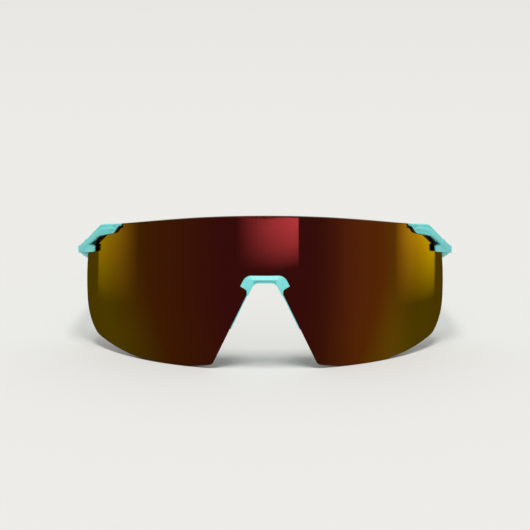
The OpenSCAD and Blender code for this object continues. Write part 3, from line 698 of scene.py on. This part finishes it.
# %% The left hinge block, joined to its cover
block = copied("block", "endpiece_left", 0.2, behind=(EDGE_Y + 0.4 + SHIFT) * MM)
endpiece = joined("endpiece_left_hook", [cover, finger, skirt, roof, roof_end, ridge, block])
smooth(endpiece, 40)

# %% The right endpiece is the left one turned over
settle_pair(endpiece, nylon, "endpiece")

# %% [markdown]
# ## Gaskets and clamp plates
# A rubber gasket fills the space between cover and lens, and swells out a little in the nook above
# the finger, where it shows black. Behind the lens a plate of black nylon takes the screws. Both
# are drawn with the same outline, the plate's a little smaller.

# %% Gaskets and plates
GASKET = [(-22.7, -1.9, 0.2), (-15.1, -2.95, 3), (-3.9, -11.5, 2), (-2.6, -13.4, 0.5),
          (-5.6, -13.3, 1), (-7.0, -12.75, 0.8), (-8.3, -11.2, 0.8), (-8.3, -9.6, 0.8),
          (-10.3, -7.2, 1.5), (-14.6, -5.9, 1.5), (-19.4, -4.75, 1.2), (-21.3, -3.5, 1.5)]
PLATE = [(-23.3, -2.0, 0.2), (-14.95, -3.25, 3), (-4.2, -11.65, 2), (-2.9, -13.1, 0.5),
         (-5.6, -13.0, 1), (-8.75, -12.55, 0.8), (-10.6, -11.2, 0.8), (-10.6, -9.3, 0.8),
         (-12.05, -7.4, 1.5), (-14.6, -5.9, 1.5), (-19.9, -4.7, 1.2), (-22.1, -3.5, 1.5)]
gasket = corner_plate("gasket_left", GASKET, -0.97, -0.03, [(sharp, 0.15)])
plate = corner_plate("plate_left", PLATE, 2.03, 3.6, [(edges_at(3.6), 0.35)])
for piece, finish, node, slot in ((gasket, rubber, "lens_gasket", "black_rubber"),
                                  (plate, plate_nylon, "clamp_plate", "black_nylon")):
    smooth(piece, 40)
    settle_pair(piece, finish, node)

# %% [markdown]
# ## Screws and pins
# Each screw starts as a cylinder, gets a rounded rim and a hexagonal socket cut for the driver,
# and is then turned on to its place.

# %% Screws and pins


def cylinder(radius, low, high, vertices=48):
    deselect()
    bpy.ops.mesh.primitive_cylinder_add(vertices=vertices, radius=radius * MM,
                                        depth=(high - low) * MM,
                                        location=(0, 0, (low + high) / 2 * MM))
    bpy.ops.object.transform_apply(location=True, rotation=True, scale=True)
    return bpy.context.object


def cut(piece, tool):
    """Cuts the tool's shape out of a piece."""
    deselect()
    bpy.context.view_layer.objects.active = piece
    piece.select_set(True)
    socket = piece.modifiers.new("cut", "BOOLEAN")
    socket.operation = "DIFFERENCE"
    socket.solver = "EXACT"
    socket.object = tool
    bpy.ops.object.modifier_apply(modifier=socket.name)
    bpy.data.objects.remove(tool)


RIM_ROUND, SOCKET_WIDTH, SOCKET_DEPTH = 0.28, 0.52, 0.6


def headed(name, head_radius, head_height, shank_radius, shank_length):
    """A screw whose head's top is at z = 0, with its shank below."""
    head = cylinder(head_radius, -head_height, 0)
    work_on(head)
    select_edges(head, lambda e: sharp(e) and e.verts[0].co.z > -0.01 * MM)
    bpy.ops.mesh.bevel(offset=RIM_ROUND * MM, segments=4, profile=0.5, affect="EDGES")
    done()
    cut(head, cylinder(head_radius * SOCKET_WIDTH, -head_height * SOCKET_DEPTH, 1, 6))
    shank = cylinder(shank_radius, -head_height - shank_length, -head_height * 0.9, 32)
    return joined(name, [head, shank])


def placed_at(piece, origin, axis):
    """Moves a screw's mesh so that its head's top is at origin and looks along axis."""
    piece.data.transform(Matrix.Translation(origin)
                         @ Vector(axis).to_track_quat("Z", "Y").to_matrix().to_4x4())


SCREWS = from_edge([(-16.0, -4.1, 0), (-5.9, -11.75, 0)])
HEAD_RADIUS, HEAD_HEIGHT, PLATE_THICKNESS = 1.5, 0.8, 1.6
SHANK_RADIUS, SHANK_LENGTH = 0.8, 5.5
straight = leaned(-math.sin(CORNER_TURN), math.cos(CORNER_TURN), 0) - leaned(0, 0, 0)
rise = straight.normalized() * HEAD_HEIGHT * MM
heads = []
for u, z, _ in SCREWS:
    seat = math.sqrt((LENS_RADIUS - LENS_THICKNESS - PLATE_THICKNESS) ** 2
                     - (abs(u) + HEAD_RADIUS) ** 2)
    inner = math.sqrt(LENS_RADIUS**2 - u**2) - seat
    for flip in (1, -1):
        screw = headed("clamp_screw", HEAD_RADIUS, HEAD_HEIGHT, SHANK_RADIUS, SHANK_LENGTH)
        placed_at(screw, on_corner(u, z, inner) + rise, straight)
        if flip < 0:
            turn_over(screw)
        heads.append(screw)
screws = joined("clamp_screw_set", heads)
smooth(screws)
settle(screws, steel, "clamp_screws", "front")

PIN_HEAD_RADIUS, PIN_HEAD, PIN_RADIUS = 1.25, 0.7, 0.7
PIN_SHANK = (pin_high[2] - pin_low[2]) / MM - PIN_HEAD
for name, mirror in (("left", 1), ("right", -1)):
    pin = headed("hinge_pin_" + name + "_turned", PIN_HEAD_RADIUS, PIN_HEAD, PIN_RADIUS, PIN_SHANK)
    placed_at(pin, Vector((mirror * HINGE_X * MM, (HINGE_Y + SHIFT) * MM, pin_high[2])), (0, 0, 1))
    smooth(pin)
    settle(pin, steel, "hinge_pin_" + name, "front")

# %% [markdown]
# ## Nose bridge and pads
# The bridge is a nylon saddle that clips on the arch: a lip in front with a broad sloping upper
# face and two pointed hooks, a thin rim through the arch, and legs behind that carry the pads.
# The lip and the rim are drawn flat and bent on to the lens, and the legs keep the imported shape.
# The pads are soft: they are lofted through rounded rings that swell in the middle.

# %% The bridge
LIP_FACE, LIP_LOW, LIP_SLOPE = -1.5, 28.8, 1.25
LIP = [(6.75, LIP_LOW, 0), (6.85, 30.95, 1.3), (9.23, 32.3, 0.2), (7.07, 36.2, 3.5)]
half = NOSE_WIDTH / 2
INNER = [(half, NOSE_HEIGHT, NOSE_CORNER),
         (half + NOSE_SLOPE * (NOSE_HEIGHT - LIP_LOW), LIP_LOW, 0)]
lip = filled("lip", rounded(LIP + [(-x, z, r) for x, z, r in reversed(LIP)]
                            + [(-x, z, r) for x, z, r in reversed(INNER)] + INNER, 12))
thicken(lip, LIP_FACE, -0.03)
soften(lip, LIP_SLOPE, 1, lambda e: edges_at(LIP_FACE)(e) and min(v.co.y for v in e.verts) > 33
       and max(abs(v.co.x) + v.co.y for v in e.verts) > 35.6)
soften(lip, 0.22, 2)
strips(lip, 0.8)
bend(lip, on_front)

# The rim and the trims are strips this thick along the arch and down the nose cut
STRIP, RIM_SIDE, RIM_DROP = 0.47, 0.297, 3
RIM = [(half + RIM_SIDE, NOSE_HEIGHT + STRIP, NOSE_CORNER + STRIP),
       (half + RIM_SIDE + NOSE_SLOPE * RIM_DROP, NOSE_HEIGHT + STRIP - RIM_DROP, 0)]
INSIDE = [(half, NOSE_HEIGHT, NOSE_CORNER),
          (half + NOSE_SLOPE * RIM_DROP, NOSE_HEIGHT - RIM_DROP, 0)]
rim = filled("rim", rounded([(-x, z, r) for x, z, r in reversed(RIM)] + RIM
                            + INSIDE[::-1] + [(-x, z, r) for x, z, r in INSIDE], 12))
thicken(rim, -1.2, 3.4)
strips(rim, 0.8)
bend(rim, on_front)
TRIM_HIGH, TRIM_LOW, TRIM_GAP, TRIM_SIDE = 2.5, 17.5, 0.12, 0.177
near, far = [half + NOSE_SLOPE * down + TRIM_GAP for down in (TRIM_HIGH, TRIM_LOW)]
trims = []
for flip in (1, -1):
    trim = filled("trim", [(flip * near, NOSE_HEIGHT - TRIM_HIGH),
                           (flip * far, NOSE_HEIGHT - TRIM_LOW),
                           (flip * (far + TRIM_SIDE), NOSE_HEIGHT - TRIM_LOW + STRIP),
                           (flip * (near + TRIM_SIDE), NOSE_HEIGHT - TRIM_HIGH + STRIP)])
    thicken(trim, 0.2, 2.6)
    soften(trim, 0.1, 2)
    strips(trim, 0.8)
    bend(trim, on_front)
    trims.append(trim)
legs = copied("legs", "nose_bridge", 0.15, behind=(2.7 + SHIFT) * MM)
bridge = joined("nose_bridge_saddle", [lip, rim, legs] + trims)
smooth(bridge)
settle(bridge, nylon, "nose_bridge", "front")

# %% The pads and their cores
PAD_LENGTH, PAD_DEPTH, PAD_THICKNESS, PAD_CROWN, PAD_FLARE = 15, 9, 2.6, 0.5, math.radians(28)
PAD_PIVOT = Vector((11.012, 4.165, 22.65))
PAD_REACH = PAD_DEPTH / 2 + 1.4 / math.cos(PAD_FLARE) + 1


def on_pad(x, y, z):
    """A point of the left pad, drawn about its pivot."""
    across = x * math.cos(PAD_FLARE) + y * math.sin(PAD_FLARE)
    back = -x * math.sin(PAD_FLARE) + y * math.cos(PAD_FLARE)
    turned = Vector((across * math.cos(NOSE_FLARE) - z * math.sin(NOSE_FLARE), back,
                     across * math.sin(NOSE_FLARE) + z * math.cos(NOSE_FLARE)))
    return leaned(*(PAD_PIVOT + turned))


def oval(width, height, power=3.2, count=32):
    """Points of a rounded oblong section."""
    points = []
    for k in range(count):
        a = math.tau * k / count
        c, s = math.cos(a), math.sin(a)
        points.append((math.copysign(abs(c) ** (2 / power), c) * width / 2,
                       math.copysign(abs(s) ** (2 / power), s) * height / 2))
    return points


rings = []
for k in range(29):
    t = -math.cos(math.pi * k / 28)
    full = math.sqrt(1 - (abs(t) * 0.985) ** 3)
    rings.append([on_pad(x + PAD_CROWN * (1 - (y / PAD_DEPTH * 2) ** 2), y + PAD_REACH,
                         -t * PAD_LENGTH / 2)
                  for x, y in oval(PAD_THICKNESS * full, PAD_DEPTH * (0.3 + 0.7 * full))])
pad = loft("nose_pad_left_soft", rings)
smooth(pad, 60)
settle_pair(pad, elastomer, "nose_pad", "pad")
for name in ("left", "right"):
    core = copied("pad_core_" + name + "_wire", "pad_core_" + name, 0.1)
    settle(core, steel, "pad_core_" + name, "pad_" + name)

# %% [markdown]
# ## Temples
# Each temple is moulded nylon: slim, flat on the inner side and keeled on the outer, running back,
# bending down over the ear and curving in. It is lofted through rings along that path. The hinge
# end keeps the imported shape. The sleeve on its end and the strip on its inner side are soft
# rubber with fine cross ribs, which stop them slipping.

# %% The temple's path
BEND_START = RUN * math.cos(RUN_SLOPE)
BEND_END = BEND_START + EAR_RADIUS * (math.sin(TIP_SLOPE) - math.sin(RUN_SLOPE))
START_DROP = BEND_START * math.tan(RUN_SLOPE)
BEND_DROP = START_DROP + EAR_RADIUS * (math.cos(RUN_SLOPE) - math.cos(TIP_SLOPE))
TIP_DROP = (HINGE_Z + 0.5 - (TIP_HEIGHT + SLEEVE_WALL) / 2 * math.cos(TIP_SLOPE)
            + SLEEVE_ROUND * math.tan(TIP_SLOPE))
ARM_END = BEND_END + (TIP_DROP - BEND_DROP) / math.tan(TIP_SLOPE)
TAPER_END = ARM_END - SLEEVE_LENGTH * math.cos(TIP_SLOPE)


def slope(s):
    if s < BEND_START:
        return RUN_SLOPE
    return math.asin(math.sin(RUN_SLOPE) + (s - BEND_START) / EAR_RADIUS) if s < BEND_END \
        else TIP_SLOPE


def drop(s):
    if s < BEND_START:
        return s * math.tan(RUN_SLOPE)
    if s < BEND_END:
        return START_DROP + EAR_RADIUS * (math.cos(RUN_SLOPE) - math.cos(slope(s)))
    return BEND_DROP + (s - BEND_END) * math.tan(TIP_SLOPE)


def ring(s, section):
    """A section set square to the left temple's path, s millimetres behind the hinge."""
    x = ARM_X - INWARD_RADIUS + math.sqrt(INWARD_RADIUS**2 - s**2)
    turn, tilt = math.asin(s / INWARD_RADIUS), slope(s)
    points = []
    for out, up in section:
        point = Vector((x + out * math.cos(turn) - up * math.sin(turn) * math.sin(tilt),
                        HINGE_Y + s + SHIFT + out * math.sin(turn)
                        + up * math.cos(turn) * math.sin(tilt),
                        max(0, HINGE_Z - drop(s) + up * math.cos(tilt))))
        points.append(point * MM)
    return points


def tapered(s, start, end):
    return start + (end - start) * min(1, max(0, s / TAPER_END))


print("temple:", round(ARM_END, 1), "mm behind the hinge")

# %% The section of the temple
SECTION = [(-1, -0.75), (-0.85, -0.95), (-0.5, -1), (0.2, -0.66), (0.94, -0.12), (1, 0.02),
           (0.92, 0.16), (0, 0.9), (-0.25, 1), (-0.85, 0.95), (-1, 0.75)]


def even(points, count):
    """Points at even steps round a closed outline."""
    sides = [(Vector(b) - Vector(a)).length for a, b in zip(points, points[1:] + points[:1])]
    out, i, gone = [], 0, 0
    for k in range(count):
        at = sum(sides) * k / count
        while gone + sides[i] < at:
            gone += sides[i]
            i += 1
        a, b = Vector(points[i]), Vector(points[(i + 1) % len(points)])
        out.append(a.lerp(b, (at - gone) / sides[i]))
    return out


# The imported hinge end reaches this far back, and the section turns round over the next stretch
JOIN, ROUNDING, ROUNDING_PASSES, SECTION_POINTS = 16, 10, 4, 44


def arm_section(s):
    """The section as packed near the hinge, growing rounder over the next centimetre."""
    packed = points = even([(x * tapered(s, ARM_WIDTH, TIP_WIDTH) / 2,
                             y * tapered(s, ARM_HEIGHT, TIP_HEIGHT) / 2) for x, y in SECTION],
                           SECTION_POINTS)
    for _ in range(ROUNDING_PASSES):
        points = [(points[i - 1] + 2 * p + points[(i + 1) % SECTION_POINTS]) / 4
                  for i, p in enumerate(points)]
    share = min(1, max(0, (s - JOIN) / ROUNDING))
    return [a.lerp(b, share) for a, b in zip(packed, points)]


# %% The temple, its sleeve and its grip
def along(start, end, count):
    return [start + (end - start) * k / count for k in range(count + 1)]


shaft = loft("shaft", [ring(JOIN - 1, [p * 0.85 for p in arm_section(JOIN)])]
             + [ring(s, arm_section(s)) for s in along(JOIN, TAPER_END + 0.5, 50)])
hinge_end = copied("hinge_end", "temple_arm_left", 0.2, ahead=(HINGE_Y + JOIN + SHIFT) * MM)
arm = joined("temple_arm_left_shaft", [shaft, hinge_end])

# Ribs this far apart, which leave the sleeve's mouth and end smooth
RIB_PITCH, RIB_DEPTH, SMOOTH_MOUTH, SMOOTH_END = 2, 0.05, 3, 5
sleeve_rings = []
for s in along(TAPER_END + 0.03, ARM_END - SLEEVE_ROUND, 120):
    mouth = min(1, (s - TAPER_END) / 0.5)
    ribbed = (min(1, max(0, (s - TAPER_END - SMOOTH_MOUTH) / 2))
              * min(1, max(0, (ARM_END - SMOOTH_END - s) / 2)))
    groove = 0.5 - 0.5 * math.cos(math.tau * s / RIB_PITCH)
    size = 0.9 + 0.1 * mouth**0.5 - RIB_DEPTH * ribbed * groove
    sleeve_rings.append(ring(s, oval((TIP_WIDTH + SLEEVE_WALL) * size,
                                     (TIP_HEIGHT + SLEEVE_WALL) * size)))
for k in range(1, 7):
    a = math.pi / 2 * k / 6
    size = math.cos(a) * 0.55 + 0.45
    sleeve_rings.append(ring(ARM_END - SLEEVE_ROUND + SLEEVE_ROUND * 0.9 * math.sin(a),
                             oval((TIP_WIDTH + SLEEVE_WALL) * size,
                                  (TIP_HEIGHT + SLEEVE_WALL) * size)))
sleeve = loft("temple_tip_left_sleeve", sleeve_rings)

GRIP_END, GRIP_LENGTH, GRIP_THICKNESS = TAPER_END - 4, 30, 1.1
grip_rings = []
for k in range(121):
    s = GRIP_END - GRIP_LENGTH + GRIP_LENGTH * k / 120
    ends = math.sqrt(max(0.04, 1 - abs(k / 60 - 1) ** 12))
    thick = GRIP_THICKNESS * (0.72 + 0.28 * math.cos(math.tau * s / RIB_PITCH)) * ends
    section = oval(thick, tapered(s, ARM_HEIGHT, TIP_HEIGHT) * 0.52 * (0.4 + 0.6 * ends), 2.6, 24)
    grip_rings.append(ring(s, [(x - tapered(s, ARM_WIDTH, TIP_WIDTH) / 2, y)
                               for x, y in section]))
grip = loft("temple_grip_left_strip", grip_rings)

for piece, finish, node, slot in ((arm, nylon, "temple_arm", "turquoise_nylon"),
                                  (sleeve, rubber, "temple_tip", "black_rubber"),
                                  (grip, rubber, "temple_grip", "black_rubber")):
    smooth(piece, 40)
    settle_pair(piece, finish, node, "temple")

# %% [markdown]
# ## Studio
# The glasses stand on a sheet of warm white paper. An even sky of pale light does most of the
# lighting, and a big softbox overhead models the shapes. A second softbox in front lights only
# the bridge and the endpieces. The lens is a mirror, so three low strips of light in front and
# beside it are there only for it: they show as the bright red and gold bands on the coating, and
# without them it is dark. Bands painted into the coating would stay put as the view turns, so
# they are made by lamps. Only the brighter belt on the wearer's left is painted light, laid into
# the coating.

# %% Floor and sky
PAPER = "#ECEBE7"
deselect()
bpy.ops.mesh.primitive_plane_add(size=16, location=(0, 0, 0))
floor = bpy.context.object
floor.name = "floor"
paper, tree, _ = material("matt_paper_warm_white")
body = add(tree, "ShaderNodeBsdfDiffuse", values={"Color": colour(PAPER)})
add(tree, "ShaderNodeOutputMaterial", links={0: body.outputs[0]})
floor.data.materials.append(paper)

world = bpy.data.worlds.new("studio")
bpy.context.scene.world = world
world.use_nodes = True
tree = world.node_tree
tree.nodes.clear()
rays = add(tree, "ShaderNodeLightPath")
seen = add(tree, "ShaderNodeMath", {"operation": "MAXIMUM"}, links={
    0: rays.outputs["Is Camera Ray"], 1: rays.outputs["Is Glossy Ray"]})
seen = add(tree, "ShaderNodeMath", {"operation": "MAXIMUM"}, links={
    0: seen.outputs[0], 1: rays.outputs["Is Transmission Ray"]})
FILL = 0.44
fill = add(tree, "ShaderNodeBackground", values={"Color": (1, 1, 1, 1), "Strength": FILL})
backdrop = add(tree, "ShaderNodeBackground", values={"Color": colour(PAPER), "Strength": 1})
mix = add(tree, "ShaderNodeMixShader", links={0: seen.outputs[0], 1: fill.outputs[0],
          2: backdrop.outputs[0]})
add(tree, "ShaderNodeOutputWorld", links={0: mix.outputs[0]})

# %% Lamps


def lamp(name, place, aim, size, radiance, only=None, glow=None, tint=(1, 1, 1)):
    """A rectangular soft lamp of this radiance, aimed at a point; sizes in metres."""
    deselect()
    bpy.ops.object.light_add(type="AREA", location=place)
    made = bpy.context.object
    made.name = name
    made.data.shape = "RECTANGLE"
    made.data.size, made.data.size_y = size
    made.data.energy = radiance * math.pi * size[0] * size[1]
    made.data.color = tint
    made.rotation_euler = (Vector(aim) - Vector(place)).to_track_quat("-Z", "Y").to_euler()
    made.visible_camera = False
    if only:
        made.light_linking.receiver_collection = only
    if glow:
        fade(made, *glow)
    print("lamp:", name)


def fade(made, *profiles):
    """Makes a lamp's cloth glow unevenly: its radiance along each side, as (place, share)."""
    made.data.use_nodes = True
    tree = made.data.node_tree
    tree.nodes.clear()
    spot = add(tree, "ShaderNodeNewGeometry")
    sides = add(tree, "ShaderNodeSeparateXYZ", links={0: spot.outputs["Parametric"]})
    shares = []
    for side, profile in enumerate(profiles):
        ramp = add(tree, "ShaderNodeValToRGB", links={0: sides.outputs[side]})
        set_stops(ramp, [(at, grey(share)) for at, share in profile])
        shares.append(ramp.outputs[0])
    both = add(tree, "ShaderNodeMath", {"operation": "MULTIPLY"}, links={
        0: shares[0], 1: shares[1]})
    cloth = add(tree, "ShaderNodeEmission", links={"Strength": both.outputs[0]})
    add(tree, "ShaderNodeOutputLight", links={0: cloth.outputs[0]})


lit_lens = bpy.data.collections.new("lit_by_strips")
lit_lens.objects.link(lens)
lit_frame = bpy.data.collections.new("lit_by_front_box")
for piece in (bridge, endpiece, bpy.data.objects["endpiece_right_hook"]):
    lit_frame.objects.link(piece)

lamp("overhead_softbox", (0, -2.7, 12), (0, -0.06, 0), (5.2, 4.5), 12.5)
lamp("front_softbox", (0, -2.2, 1.0), (0, 0, 0.04), (1.6, 1.0), 2.8, lit_frame)
# Each strip is dark at one end of its cloth and fades up evenly to its full glow at the other
FRONT = [(0.05, 0), (0.6, 0.7), (0.9, 1)]
FRONT_UP = [(0.1, 0), (0.5, 0.65), (0.85, 1)]
lamp("front_strip", (0.003, -0.33, 0.016), (0.003, -0.08, 0.016), (0.186, 0.031), 9.4, lit_lens,
     (FRONT, FRONT_UP), (1, 0.8, 1.05))
SIDE_UP = [(0, 0), (0.85, 1)]
SIDE = [(0, 0), (0.4, 0.53), (0.9, 1)]
lamp("side_strip_right", (-0.15, -0.055, 0.0185), (-0.06, -0.055, 0.0185), (0.0713, 0.037), 3.3,
     lit_lens, ([(1 - at, share) for at, share in SIDE[::-1]], SIDE_UP))
lamp("side_strip_left", (0.15, -0.0493, 0.0185), (0.06, -0.0493, 0.0185), (0.0714, 0.037), 7.2,
     lit_lens, (SIDE, SIDE_UP))

# %% Camera
deselect()
bpy.ops.object.camera_add(location=(0, -0.73665, 0.19847), rotation=(math.radians(76.5), 0, 0))
camera = bpy.context.object
camera.data.lens = 123.9
camera.data.sensor_width = 36
camera.data.clip_start = 0.01
bpy.context.scene.camera = camera
bpy.context.scene.view_settings.view_transform = "Standard"
print("camera:", camera.data.lens, "mm lens")
